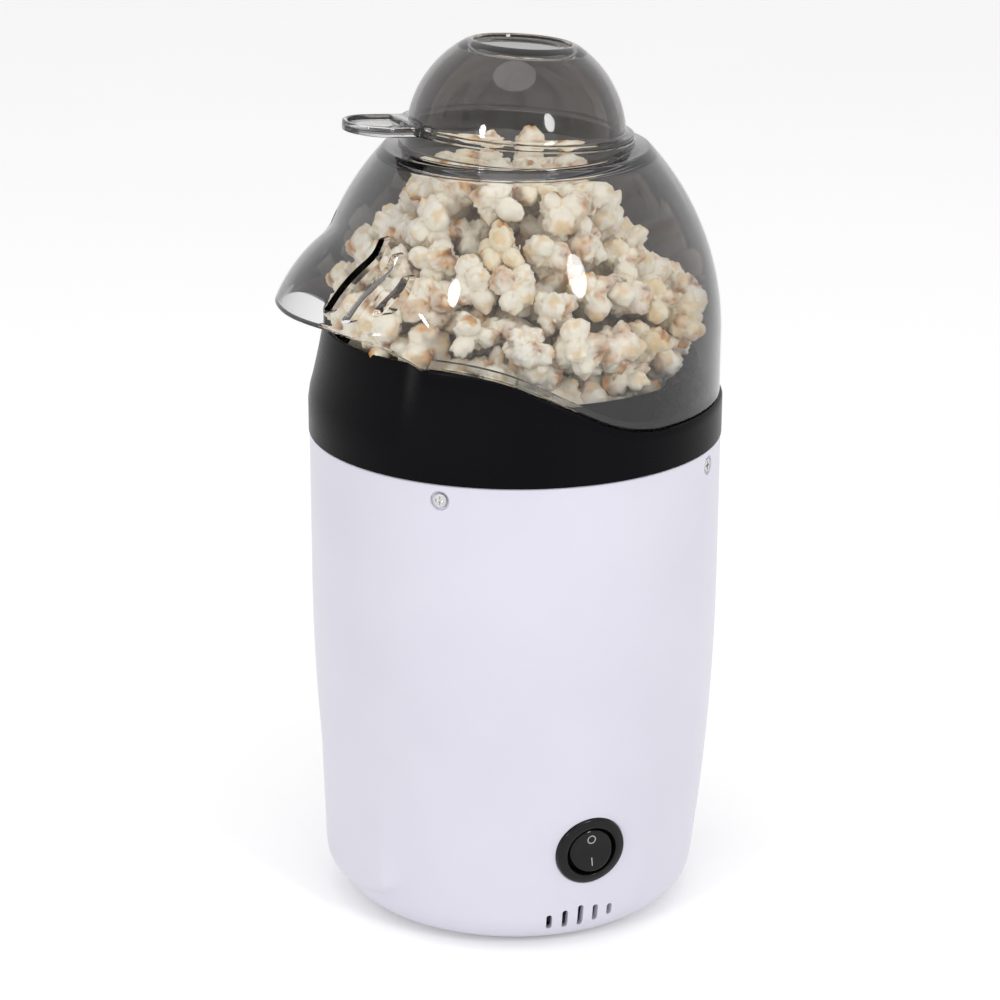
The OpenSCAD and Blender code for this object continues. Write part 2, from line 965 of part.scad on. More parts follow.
module rectifier_diodes() {
    color([0.1, 0.1, 0.1])
        for (i = [0:3])
            translate([i * 5.5 - 8.25, -8, motor_z - 7.45]) {
                rotate([0, 90, 90])
                    cylinder(r = 1.35, h = 5.2);
                for (y = [-1.5, 6.1])
                    translate([0, y, 0])
                        cylinder(r = 0.4, h = 1.35);
                translate([0, -1.5, 0])
                    rotate([0, 90, 90])
                        cylinder(r = 0.4, h = 7.6);
            }
}

// ---- base ----

foot_ring_r = opening_r - 11;

module base_plate() {
    color([0.93, 0.93, 0.94])
        difference() {
            union() {
                translate([0, 0, base_z])
                    cylinder(r = opening_r - clear, h = wall);
                cylinder(r1 = 5, r2 = 6, h = base_z + 0.5);
            }
            for (r = [10, 15, 20, 25])
                for (i = [0:3])
                    tube_sector(r + 1.2, r - 1.2, 0, 6, i * 90 + (r % 10 == 0 ? 0 : 45), 38);
            for (a = boss_angles)
                rotate([0, 0, a])
                    translate([boss_r, 0, 0]) {
                        cylinder(r = 1.7, h = 6);
                        cylinder(r = 2.9, h = base_z + 1);
                    }
            for (a = [0, 90, 180, 270])
                rotate([0, 0, a])
                    translate([foot_ring_r, 0, 0])
                        cylinder(r = 6.1, h = base_z + 0.8);
        }
}

module base_screws() {
    color([0.6, 0.6, 0.62])
        for (a = boss_angles)
            rotate([0, 0, a])
                translate([boss_r, 0, base_z + 1])
                    rotate([180, 0, 0])
                        screw(1.5, 10, 2.6, 0.9);
}

module rubber_feet() {
    color([0.15, 0.15, 0.15])
        for (a = [0, 90, 180, 270])
            rotate([0, 0, a])
                translate([foot_ring_r, 0, 0])
                    cylinder(r1 = 5.4, r2 = 6, h = base_z + 0.8);
}

// ---- switch ----

pivot_x = -1.9;

module switch_housing() {
    color([0.08, 0.08, 0.08])
        on_wall(0, switch_z)
            difference() {
                union() {
                    rotate([0, 90, 0])
                        rotate_extrude()
                            polygon([[0, -1.5], [bezel_r, -1.5], [bezel_r, -0.1], [bezel_r - 1.3, 0.9], [0, 0.9]]);
                    bar_x(9.7, -19, -1);
                }
                bar_x(8.1, -8, 3);
                translate([pivot_x, 0, 0])
                    rotate([90, 0, 0])
                        translate([0, 0, -9.1])
                            cylinder(r = 1.25, h = 18.2, $fn = 48);
            }
}

module switch_rocker() {
    dish = rocker_travel / 2;
    color([0.1, 0.1, 0.1])
        on_wall(0, switch_z)
            translate([pivot_x, 0, 0])
                rotate([0, -dish, 0]) {
                    intersection() {
                        sphere(r = 7.7);
                        rotate([90, 0, 0])
                            translate([0, 0, -10])
                                linear_extrude(height = 20)
                                    polygon([[-4, -9], [2.2 + 9 * tan(dish), -9], [2.2, 0],
                                        [2.2 + 9 * tan(dish), 9], [-4, 9]]);
                    }
                    rotate([90, 0, 0])
                        translate([0, 0, -9])
                            cylinder(r = 1.2, h = 18, $fn = 48);
                }
}

module switch_terminals() {
    color([0.8, 0.75, 0.55])
        on_wall(0, switch_z)
            for (s = [-1, 1]) {
                translate([-20, s * 4.5 - 3.15, -0.4])
                    cube([1, 6.3, 0.8]);
                translate([-27, s * 4.5 - 2.4, -0.4])
                    cube([7.5, 4.8, 0.8]);
            }
}

// ---- cord inlet and wiring ----

gland_z = 22;

module cord_gland() {
    color([0.12, 0.12, 0.12])
        on_wall(90, gland_z)
            difference() {
                union() {
                    bar_x(6, -9, 0);
                    rotate([0, 90, 0])
                        rotate_extrude()
                            polygon([[0, -0.9], [8, -0.9], [8, 0.8], [5.6, 3], [0, 3]]);
                }
                bar_x(3.4, -12, 6);
            }
}

module gland_nut() {
    color([0.12, 0.12, 0.12])
        on_wall(90, gland_z)
            difference() {
                translate([-6.5, 0, 0])
                    rotate([0, 90, 0])
                        cylinder(r = 9.4, h = 4, $fn = 6);
                bar_x(6 + bite, -12, 0);
            }
}

block_y = opening_r - 12;
block_t = 11;

module terminal_block() {
    color([0.95, 0.95, 0.92])
        difference() {
            translate([-11, block_y - 6, plate_top])
                cube([22, 12, block_t]);
            for (s = [-1, 1]) {
                translate([s * 5.5, block_y, plate_top + 6])
                    cylinder(r = 2, h = 9, $fn = 32);
                translate([s * 5.5, block_y + 9, plate_top + 5])
                    rotate([90, 0, 0])
                        cylinder(r = 1.9, h = 18, $fn = 32);
            }
        }
}

wire_r = 1.1;

// Point in the wiring lane
function lane(azimuth, z) = [lane_r * cos(azimuth), lane_r * sin(azimuth), z];

module wire_block_to_switch() {
    color([0.15, 0.15, 0.15])
        wire([[5.5, block_y - 3, plate_top + 5], [5.5, block_y - 9, plate_top + 5], [25, 20, plate_top + 12],
            [wall_r(switch_z) - 31, 8, switch_z - 5], [wall_r(switch_z) - 27, 4.5, switch_z + 2.5]], wire_r);
}

module wire_switch_to_thermostat() {
    color([0.8, 0.2, 0.15])
        wire([[wall_r(switch_z) - 27, -4.5, switch_z + 2.5], [wall_r(switch_z) - 33, -14, switch_z + 4],
            lane(-61, switch_z + 8), lane(-94, switch_z + 27), lane(-129, thermostat_z - 24),
            lane(-162, thermostat_z - 8), [-shroud_r - 12, -4, thermostat_z - 1.6]], wire_r);
}

module wire_thermostat_to_fuse() {
    color([0.8, 0.2, 0.15])
        wire([[-shroud_r - 12, 4, thermostat_z + 0.85], lane(180, thermostat_z + 12), lane(212, thermostat_z + 12),
            [fuse_x * cos(fuse_a), fuse_x * sin(fuse_a), fuse_z + 11]], wire_r);
}

body_shell();
collar();
hood();
measuring_cup();
popping_chamber();
chamber_gasket();
heater_shroud();
mica_plate_lengthwise();
mica_plate_crosswise();
heating_coil();
thermostat();
thermostat_rivets();
thermal_fuse();
fuse_clip();
fan_impeller();
fan_housing();
fan_housing_screws();
flange_screws();
collar_screws();
motor_can();
motor_magnets();
motor_armature();
motor_shaft();
motor_end_cap();
motor_screws();
rectifier_board();
rectifier_diodes();
base_plate();
base_screws();
rubber_feet();
switch_housing();
switch_rocker();
switch_terminals();
cord_gland();
gland_nut();
terminal_block();
wire_block_to_switch();
wire_switch_to_thermostat();
wire_thermostat_to_fuse();
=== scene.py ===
import math
import random

import bmesh
import bpy
from mathutils import Matrix, Vector, noise


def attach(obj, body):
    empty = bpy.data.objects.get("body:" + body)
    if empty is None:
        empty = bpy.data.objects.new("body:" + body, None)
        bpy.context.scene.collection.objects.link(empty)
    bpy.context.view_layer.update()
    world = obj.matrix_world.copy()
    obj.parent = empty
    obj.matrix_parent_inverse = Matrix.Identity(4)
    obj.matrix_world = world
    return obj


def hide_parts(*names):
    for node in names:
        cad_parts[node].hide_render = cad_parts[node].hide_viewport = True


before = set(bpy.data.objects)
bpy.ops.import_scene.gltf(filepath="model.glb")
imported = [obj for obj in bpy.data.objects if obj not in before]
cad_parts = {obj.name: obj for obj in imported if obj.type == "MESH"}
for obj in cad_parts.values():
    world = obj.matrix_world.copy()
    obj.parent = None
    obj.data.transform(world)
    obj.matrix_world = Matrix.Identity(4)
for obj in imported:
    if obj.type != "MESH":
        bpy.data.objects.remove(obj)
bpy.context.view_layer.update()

MM = 0.001

# ---- sizes shared with part.scad ----
BODY_R, SEAM_Z, TAPER_Z, TAPER_ARC = 65.6, 158.0, 110.0, 760.0
BASE_Z, FOOT_FILLET, WALL, OPENING_R = 1.5, 11.6, 2.2, 48.0
FILLET_Z = BASE_Z + FOOT_FILLET
FILLET_LEAN = math.asin((TAPER_Z - FILLET_Z) / (TAPER_ARC - FOOT_FILLET))
FILLET_END = FILLET_Z - FOOT_FILLET * math.sin(FILLET_LEAN)
FILLET_X = BODY_R - TAPER_ARC + (TAPER_ARC - FOOT_FILLET) * math.cos(FILLET_LEAN)
PANEL_HALF, PANEL_R, PANEL_Z, PANEL_ROUND, PANEL_TOP = 27.5, 62.2, 10.5, 4.0, 122.0
PANEL_SIDE, PANEL_CORNER = 6.5, 9.5
SCREW_AZIMUTHS, COLLAR_SCREW_Z = (-43.5, 223.5, 43.5, 136.5), 152.8
SWITCH_Z, BEZEL_R, GLAND_Z = 35.0, 11.5, 22.0
VENT_AZIMUTH, VENT_PITCH = -2, 5

RIM_LOW, RIM_HIGH = 171.0, 193.2
RING_R, RING_OUT, CHANNEL_OUT, CHANNEL_Z, LIP_Z = 58.2, 60.7, 63.4, 163.4, 184.5
FLANGE_TOP, CHAMBER_R = SEAM_Z + 3.2, 39.0
SKIRT_IN, SKIRT_OUT, SKIRT_Z = 60.6, 63, 148
SPIGOT_IN, SPIGOT_OUT, CLEAR = 61.2, 62.9, 0.3

HOOD_R, DOME_Z, DOME_ARC, HOOD_WALL = 65.0, 190.0, 85.8, 2.0
DOME_TOP, DOME_CEILING = 249.0, 245.8
CHUTE_Y, CHUTE_R, CHUTE_TIP_Z, BALL_Z, BALL_R = 31.0, 46.5, 202.5, 183.2, 50.4
# Steam slots: distance from the middle, lower and upper end
SLOTS = ((20, 206.7, 228.5), (27, 205.0, 225.0), (33, 208.0, 219.5))

CUP_R, BOWL_R, CUP_WALL, CUP_MID, CUP_FOOT_R = 34.3, 34.3, 1.8, -2.5, 16.7
SEAT_Z, SEAT_TILT, HANDLE_REACH, HANDLE_HALF = 253.5, 4.0, 57.0, 12.0
HANDLE_LOW, HANDLE_HIGH = 0.0, 3.0
NECK_R, NECK_IN = 36.8, 34.6

# Popcorn: how many different kernels, and the share of faces each keeps
KERNEL_KINDS, KERNEL_FACES = 14, 0.24


# ---- small tools ----
def smooth(a, b, x):
    t = min(1.0, max(0.0, (x - a) / (b - a)))
    return t * t * (3 - 2 * t)


def mix(a, b, t):
    return a + (b - a) * t


def soft_max(a, b, width):
    h = max(width - abs(a - b), 0.0) / width
    return max(a, b) + h * h * width / 4


def arc(cx, cz, r, a0, a1, steps):
    angles = (math.radians(a0 + (a1 - a0) * i / steps) for i in range(steps + 1))
    return [(cx + r * math.cos(a), cz + r * math.sin(a)) for a in angles]


def line(p, q, steps):
    return [(mix(p[0], q[0], i / steps), mix(p[1], q[1], i / steps)) for i in range(steps + 1)]


def add_object(name, bm, material, sharp=32):
    bmesh.ops.recalc_face_normals(bm, faces=bm.faces)
    mesh = bpy.data.meshes.new(name)
    bm.to_mesh(mesh)
    bm.free()
    mesh.shade_smooth()
    mesh.set_sharp_from_angle(angle=math.radians(sharp))
    mesh.materials.append(material)
    ob = bpy.data.objects.new(name, mesh)
    bpy.context.scene.collection.objects.link(ob)
    return ob


def join_rings(bm, rings, around, along):
    """Quads between rings of vertices; around closes each ring, along closes the rings on each other."""
    n = len(rings[0])
    for i in range(len(rings) if along else len(rings) - 1):
        a, b = rings[i], rings[(i + 1) % len(rings)]
        for j in range(n if around else n - 1):
            k = (j + 1) % n
            bm.faces.new((a[j], a[k], b[k], b[j]))


def turned(name, section, steps, material, sharp=32):
    """Closed shell round the axis: section(angle) gives its loop of (radius, height), angle 0 at -Y."""
    bm = bmesh.new()
    rings = []
    for i in range(steps):
        deg = 360 * i / steps
        deg = deg if deg <= 180 else deg - 360
        t = math.radians(deg)
        rings.append([bm.verts.new((r * math.sin(t) * MM, -r * math.cos(t) * MM, z * MM))
                      for r, z in section(deg)])
    join_rings(bm, rings, True, True)
    return add_object(name, bm, material, sharp)


def lathe(name, profile, steps, material, place=Matrix(), sharp=32):
    """Solid of revolution about the place's Z axis; the profile starts and ends on the axis."""
    bm = bmesh.new()
    top = bm.verts.new(place @ Vector((0, 0, profile[0][1] * MM)))
    end = bm.verts.new(place @ Vector((0, 0, profile[-1][1] * MM)))
    rings = []
    for i in range(steps):
        t = math.tau * i / steps
        rings.append([bm.verts.new(place @ Vector((r * math.cos(t) * MM, r * math.sin(t) * MM, z * MM)))
                      for r, z in profile[1:-1]])
    join_rings(bm, rings, False, True)
    for i in range(steps):
        a, b = rings[i], rings[(i + 1) % steps]
        bm.faces.new((top, a[0], b[0]))
        bm.faces.new((end, b[-1], a[-1]))
    return add_object(name, bm, material, sharp)


def loft(name, loops, material, place=Matrix(), sharp=32):
    """Solid through a stack of loops of (x, y, z), capped at both ends."""
    bm = bmesh.new()
    rings = [[bm.verts.new(place @ (Vector(p) * MM)) for p in loop] for loop in loops]
    join_rings(bm, rings, True, False)
    bm.faces.new(rings[0])
    bm.faces.new(rings[-1])
    return add_object(name, bm, material, sharp)


def boolean(ob, others, operation):
    """Applies cuts or unions to a piece and removes the other shapes."""
    for other in others:
        mod = ob.modifiers.new("step", "BOOLEAN")
        mod.operation, mod.solver, mod.object = operation, "EXACT", other
    graph = bpy.context.evaluated_depsgraph_get()
    mesh = bpy.data.meshes.new_from_object(ob.evaluated_get(graph))
    ob.modifiers.clear()
    ob.data = mesh
    mesh.shade_smooth()
    mesh.set_sharp_from_angle(angle=math.radians(32))
    for other in others:
        bpy.data.objects.remove(other)
    return ob


def bar(r, x0, x1, place, steps=48):
    """Round bar along the place's X axis, as a cutter."""
    ring = [math.tau * i / steps for i in range(steps)]
    return loft("cutter", [[(x, r * math.cos(t), r * math.sin(t)) for t in ring] for x in (x0, x1)],
                cutter_skin, place)


def capsule(r, low, high, x0, x1, place):
    """Bar along the place's X axis with a rounded slot for its section, upright from low to high."""
    def outline(x):
        return [(x, r * math.cos(math.radians(a)),
                 (high - r if a <= 180 else low + r) + r * math.sin(math.radians(a)))
                for a in [15 * i for i in range(13)] + [180 + 15 * i for i in range(13)]]
    return loft("cutter", [outline(x0), outline(x1)], cutter_skin, place)


def turn_z(azimuth):
    return Matrix.Rotation(math.radians(azimuth), 4, "Z")


# ---- materials ----
# Noise scale of the fine grain on moulded plastic
GRAIN = 900


def new_material(name):
    m = bpy.data.materials.new(name)
    m.use_nodes = True
    return m, m.node_tree.nodes, m.node_tree.links, m.node_tree.nodes["Principled BSDF"]


def add_node(nodes, kind, **values):
    n = nodes.new(kind)
    for key, value in values.items():
        setattr(n, key, value)
    return n


def object_noise(nodes, links, scale, detail=3.0):
    coord = add_node(nodes, "ShaderNodeTexCoord")
    tex = add_node(nodes, "ShaderNodeTexNoise")
    tex.inputs["Scale"].default_value = scale
    tex.inputs["Detail"].default_value = detail
    links.new(coord.outputs["Object"], tex.inputs["Vector"])
    return tex


def ramp(nodes, links, source, stops):
    r = add_node(nodes, "ShaderNodeValToRGB")
    elements = r.color_ramp.elements
    while len(elements) < len(stops):
        elements.new(0.5)
    for e, (at, color) in zip(elements, stops):
        e.position = at
        e.color = (*color, 1)
    links.new(source, r.inputs[0])
    return r.outputs[0]


def grey(v):
    return (v, v, v)


def plastic(name, dark, light, rough, bump=0.02, cloud=18, specular=0.5):
    """Moulded surface: slight colour cloud, uneven gloss and a fine grain."""
    m, nodes, links, shader = new_material(name)
    large = object_noise(nodes, links, cloud)
    links.new(ramp(nodes, links, large.outputs[0], [(0.35, dark), (0.65, light)]),
              shader.inputs["Base Color"])
    fine = object_noise(nodes, links, GRAIN, 2.0)
    links.new(ramp(nodes, links, fine.outputs[0], [(0.3, grey(rough[0])), (0.7, grey(rough[1]))]),
              shader.inputs["Roughness"])
    b = add_node(nodes, "ShaderNodeBump")
    b.inputs["Strength"].default_value = bump
    b.inputs["Distance"].default_value = 0.0002
    links.new(fine.outputs[0], b.inputs["Height"])
    links.new(b.outputs[0], shader.inputs["Normal"])
    shader.inputs["Specular IOR Level"].default_value = specular
    return m


# Point inside the hood, in metres, that tells a wall's outside from its inside
HOOD_MIDDLE = (0, 0, 0.19)


def clear_plastic(name, near, edge, far_wall_painted_shade):
    """Clear moulding: the near wall hides little of what is inside, the far wall carries a dark painted
    shade.
    """
    m, nodes, links, shader = new_material(name)
    weight = add_node(nodes, "ShaderNodeLayerWeight")
    weight.inputs["Blend"].default_value = 0.35
    coord = add_node(nodes, "ShaderNodeTexCoord")
    spot = add_node(nodes, "ShaderNodeVectorMath", operation="SUBTRACT")
    links.new(coord.outputs["Object"], spot.inputs[0])
    spot.inputs[1].default_value = HOOD_MIDDLE
    side = add_node(nodes, "ShaderNodeVectorMath", operation="DOT_PRODUCT")
    shape = add_node(nodes, "ShaderNodeNewGeometry")
    links.new(shape.outputs["Normal"], side.inputs[0])
    links.new(spot.outputs[0], side.inputs[1])
    outside = add_node(nodes, "ShaderNodeMath", operation="GREATER_THAN")
    links.new(side.outputs["Value"], outside.inputs[0])
    outside.inputs[1].default_value = 0
    # Painted shade: faces hit from inside the hood take the dark far-wall colour, so what is seen through
    # the far wall is darkened.
    wall_tint_and_painted_shade = add_node(nodes, "ShaderNodeMix", data_type="RGBA")
    links.new(outside.outputs[0], wall_tint_and_painted_shade.inputs["Factor"])
    wall_tint_and_painted_shade.inputs["A"].default_value = (*far_wall_painted_shade, 1)
    links.new(ramp(nodes, links, weight.outputs["Facing"], [(0.1, near), (0.85, edge)]), wall_tint_and_painted_shade.inputs["B"])
    links.new(wall_tint_and_painted_shade.outputs["Result"], shader.inputs["Base Color"])
    fine = object_noise(nodes, links, 60)
    links.new(ramp(nodes, links, fine.outputs[0], [(0.3, grey(0.015)), (0.7, grey(0.04))]),
              shader.inputs["Roughness"])
    shader.inputs["Transmission Weight"].default_value = 1
    shader.inputs["IOR"].default_value = 1.49
    # Light reaches what is inside as it does through real clear plastic
    path = add_node(nodes, "ShaderNodeLightPath")
    free = add_node(nodes, "ShaderNodeMath", operation="MAXIMUM")
    links.new(path.outputs["Is Shadow Ray"], free.inputs[0])
    links.new(path.outputs["Is Diffuse Ray"], free.inputs[1])
    through = add_node(nodes, "ShaderNodeBsdfTransparent")
    through.inputs["Color"].default_value = (0.95, 0.95, 0.95, 1)
    blend = add_node(nodes, "ShaderNodeMixShader")
    links.new(free.outputs[0], blend.inputs[0])
    links.new(shader.outputs[0], blend.inputs[1])
    links.new(through.outputs[0], blend.inputs[2])
    links.new(blend.outputs[0], nodes["Material Output"].inputs["Surface"])
    return m


def popcorn_material():
    """Cream flesh with a darker yellow-brown painted shade in its folds, and scraps of orange to brown hull.
    """
    m, nodes, links, shader = new_material("popped_corn")
    tone_and_fold_shade = add_node(nodes, "ShaderNodeVertexColor", layer_name="tone_and_fold_shade")
    part = add_node(nodes, "ShaderNodeSeparateColor")
    links.new(tone_and_fold_shade.outputs["Color"], part.inputs[0])
    fine = object_noise(nodes, links, 260, 4)
    flesh = ramp(nodes, links, part.outputs["Blue"],
                 [(0.0, (0.92, 0.86, 0.72)), (0.7, (0.94, 0.89, 0.78)), (1.0, (0.90, 0.79, 0.56))])
    # Painted shade: the deeper in a fold, the more the flesh turns a darker yellow-brown.
    fold = ramp(nodes, links, part.outputs["Red"], [(0.5, grey(0)), (1.0, grey(0.7))])
    husk = ramp(nodes, links, fine.outputs[0], [(0.35, (0.18, 0.055, 0.012)), (0.6, (0.66, 0.29, 0.05))])
    a = add_node(nodes, "ShaderNodeMix", data_type="RGBA")
    links.new(fold, a.inputs["Factor"])
    links.new(flesh, a.inputs["A"])
    a.inputs["B"].default_value = (0.80, 0.57, 0.27, 1)
    b = add_node(nodes, "ShaderNodeMix", data_type="RGBA")
    links.new(part.outputs["Green"], b.inputs["Factor"])
    links.new(a.outputs["Result"], b.inputs["A"])
    links.new(husk, b.inputs["B"])
    links.new(b.outputs["Result"], shader.inputs["Base Color"])
    shader.inputs["Roughness"].default_value = 0.7
    shader.inputs["Subsurface Weight"].default_value = 0.15
    shader.inputs["Subsurface Scale"].default_value = 0.002
    bump = add_node(nodes, "ShaderNodeBump")
    bump.inputs["Strength"].default_value = 0.35
    bump.inputs["Distance"].default_value = 0.0004
    links.new(object_noise(nodes, links, 900, 3).outputs[0], bump.inputs["Height"])
    links.new(bump.outputs[0], shader.inputs["Normal"])
    return m


cutter_skin = bpy.data.materials.new("cutter_skin")
popped = popcorn_material()
white_plastic = plastic("white_plastic", (0.70, 0.69, 0.78), (0.73, 0.72, 0.81), (0.28, 0.36), specular=0.4)
black_plastic = plastic("black_plastic", (0.0025, 0.0025, 0.0035), (0.004, 0.004, 0.005), (0.26, 0.3),
                        bump=0.005, specular=0.05)
black_gloss = plastic("black_gloss", grey(0.004), grey(0.006), (0.1, 0.16), specular=0.25)
mark_paint = plastic("mark_paint", grey(0.42), grey(0.5), (0.5, 0.6), specular=0.3)
rubber = plastic("rubber", grey(0.02), grey(0.035), (0.6, 0.8), bump=0.2)
nylon_dark = plastic("nylon_dark", grey(0.02), grey(0.03), (0.4, 0.55), bump=0.1)
# The last colour of each is the painted shade on faces hit from inside.
hood_clear = clear_plastic("hood_clear", grey(0.92), grey(0.22), (0.06, 0.056, 0.058))
cup_clear = clear_plastic("cup_clear", grey(0.9), grey(0.35), (0.06, 0.054, 0.054))


# ---- camera, lamps and floor ----
# Pan, pitch, roll and azimuth in degrees; distance from the axis and height in metres
CAMERA_ANGLES = (-0.295, 18.76, 0.2, -23.38)
CAMERA_AWAY, CAMERA_UP = 0.91676, 0.44364


def camera():
    pan, pitch, roll, azimuth = (math.radians(a) for a in CAMERA_ANGLES)
    away = Vector((-math.cos(azimuth), -math.sin(azimuth), 0))
    right = Vector((-math.sin(azimuth), math.cos(azimuth), 0))
    up = Vector((0, 0, 1))
    side = math.cos(pan) * right - math.sin(pan) * away
    ahead = math.sin(pan) * right + math.cos(pan) * away
    look = math.cos(pitch) * ahead - math.sin(pitch) * up
    top = math.sin(pitch) * ahead + math.cos(pitch) * up
    x = math.cos(roll) * side + math.sin(roll) * top
    y = math.cos(roll) * top - math.sin(roll) * side
    data = bpy.data.cameras.new("camera")
    data.lens, data.sensor_width, data.clip_start = 108, 36, 0.05
    cam = bpy.data.objects.new("camera", data)
    bpy.context.scene.collection.objects.link(cam)
    m = Matrix((x, y, -look)).transposed().to_4x4()
    m.translation = -CAMERA_AWAY * away + CAMERA_UP * up
    cam.matrix_world = m
    bpy.context.scene.camera = cam


# What the lamps point at, in metres
LAMP_TARGET = (0, 0, 0.2)


def lamp(name, azimuth, elevation, distance, size, power):
    data = bpy.data.lights.new(name, "AREA")
    data.shape = "ELLIPSE"
    data.size, data.size_y, data.energy = *size, power
    ob = bpy.data.objects.new(name, data)
    bpy.context.scene.collection.objects.link(ob)
    a, e = math.radians(azimuth), math.radians(elevation)
    way = Vector((math.cos(a) * math.cos(e), math.sin(a) * math.cos(e), math.sin(e)))
    turn = way.to_track_quat("Z", "Y").to_matrix().to_4x4()
    ob.matrix_world = Matrix.Translation(Vector(LAMP_TARGET) + way * distance) @ turn


def seen_rays(nodes, links):
    """1 for rays that show the background: from the camera, in gloss and through clear plastic."""
    path = add_node(nodes, "ShaderNodeLightPath")
    seen = path.outputs["Is Camera Ray"]
    for kind in ("Is Glossy Ray", "Is Transmission Ray"):
        either = add_node(nodes, "ShaderNodeMath", operation="MAXIMUM")
        links.new(seen, either.inputs[0])
        links.new(path.outputs[kind], either.inputs[1])
        seen = either.outputs[0]
    return seen


def studio():
    bpy.context.scene.view_settings.view_transform = "Standard"
    world = bpy.data.worlds.new("world")
    bpy.context.scene.world = world
    world.use_nodes = True
    nodes, links = world.node_tree.nodes, world.node_tree.links
    room, white = nodes["Background"], add_node(nodes, "ShaderNodeBackground")
    for shader, strength in ((room, 0.74), (white, 1)):
        shader.inputs[0].default_value = (1, 1, 1, 1)
        shader.inputs[1].default_value = strength
    blend = add_node(nodes, "ShaderNodeMixShader")
    links.new(seen_rays(nodes, links), blend.inputs[0])
    links.new(room.outputs[0], blend.inputs[1])
    links.new(white.outputs[0], blend.inputs[2])
    links.new(blend.outputs[0], nodes["World Output"].inputs[0])

    # The floor shows a little paler than it is lit, so that it meets the white background
    paper = plastic("floor_paper", grey(0.92), grey(0.93), (0.7, 0.8), cloud=3, specular=0.1)
    nodes, links = paper.node_tree.nodes, paper.node_tree.links
    lift = add_node(nodes, "ShaderNodeMath", operation="MULTIPLY")
    links.new(seen_rays(nodes, links), lift.inputs[0])
    lift.inputs[1].default_value = 0.2
    glow = add_node(nodes, "ShaderNodeEmission")
    links.new(lift.outputs[0], glow.inputs["Strength"])
    both = add_node(nodes, "ShaderNodeAddShader")
    links.new(nodes["Principled BSDF"].outputs[0], both.inputs[0])
    links.new(glow.outputs[0], both.inputs[1])
    links.new(both.outputs[0], nodes["Material Output"].inputs["Surface"])
    bm = bmesh.new()
    bmesh.ops.create_grid(bm, x_segments=4, y_segments=4, size=6)
    add_object("floor", bm, paper)

    lamp("key", 14, 26, 1.2, (0.21, 0.37), 2.75)
    lamp("fill", -59, 19, 1.2, (0.13, 0.22), 1.8)
    lamp("top", -30, 78, 1.4, (0.9, 0.9), 3.0)


# ---- body ----
def wall_r(z):
    if z < FILLET_END:
        return FILLET_X + math.sqrt(max(0.0, FOOT_FILLET**2 - (FILLET_Z - z) ** 2))
    if z < TAPER_Z:
        return BODY_R - TAPER_ARC + math.sqrt(TAPER_ARC**2 - (TAPER_Z - z) ** 2)
    return BODY_R


def panel_r(angle, z):
    """Front panel: an upright line from its rounded lower end to where it runs out in the wall."""
    share = min(1.0, abs(angle) / (PANEL_HALF + 3))
    low = PANEL_Z + PANEL_CORNER * (1 - math.sqrt(1 - share**2.6))
    if z < low:
        return 0
    flat = PANEL_Z + PANEL_ROUND
    r = min(BODY_R, mix(PANEL_R, BODY_R, (z - flat) / (PANEL_TOP - flat)))
    if z < low + PANEL_ROUND:
        r -= PANEL_ROUND - math.sqrt(PANEL_ROUND**2 - (low + PANEL_ROUND - z) ** 2)
    return r


def body_r(angle, z):
    """The panel's sides slope down to the wall over the band of PANEL_SIDE degrees."""
    on_panel = min(1.0, max(0.0, (PANEL_HALF + PANEL_SIDE / 2 - abs(angle)) / PANEL_SIDE))
    return mix(wall_r(z), max(wall_r(z), panel_r(angle, z)), on_panel)


def body_section(angle):
    rounding = arc(FILLET_X, FILLET_Z, FOOT_FILLET, -90, -22, 9)
    heights = [9.6, 10.1, 10.6] + [11 + 0.5 * i for i in range(28)]
    heights += [mix(25, SEAM_Z - 0.5, i / 50) for i in range(1, 51)]
    return ([(OPENING_R, BASE_Z)] + rounding
            + [(body_r(angle, z), z) for z in heights]
            + [(BODY_R - 0.5, SEAM_Z), (BODY_R - WALL, SEAM_Z)]
            + [(wall_r(z) - WALL, z) for z in (150, 120, 90, 60, 30, 13)]
            + arc(FILLET_X, FILLET_Z, FOOT_FILLET - WALL, -30, -90, 5) + [(OPENING_R, BASE_Z + WALL)])


def on_wall(azimuth, z):
    lean = 0 if z >= TAPER_Z else math.asin((TAPER_Z - z) / TAPER_ARC)
    return (turn_z(azimuth) @ Matrix.Translation(Vector((wall_r(z), 0, z)) * MM)
            @ Matrix.Rotation(lean, 4, "Y"))


def body():
    ob = turned("body_moulding", body_section, 360, white_plastic)
    cuts = []
    for i in range(-2, 3):
        half = 2.9 - 0.75 * abs(i) - 0.15 * i
        mid = BASE_Z + 10 + 0.35 * i - 0.25 * abs(i)
        cuts.append(capsule(0.95, mid - half - 0.95, mid + half + 0.95, 50, 64,
                            turn_z(VENT_AZIMUTH + i * VENT_PITCH)))
    place = on_wall(0, SWITCH_Z)
    cuts += [bar(BEZEL_R + 0.2, -1.5, 6, place, 96), bar(10, -12, 4, place, 96)]
    place = on_wall(90, GLAND_Z)
    cuts += [bar(8.2, -0.9, 6, place, 64), bar(6.2, -8, 4, place, 64)]
    for azimuth in SCREW_AZIMUTHS:
        place = turn_z(azimuth) @ Matrix.Translation((0, 0, COLLAR_SCREW_Z * MM))
        cuts += [bar(1.7, 60, 70, place), bar(3.1, BODY_R - 1.1, 70, place)]
    boolean(ob, cuts, "DIFFERENCE")
    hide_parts("body_shell")
    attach(ob, "base")


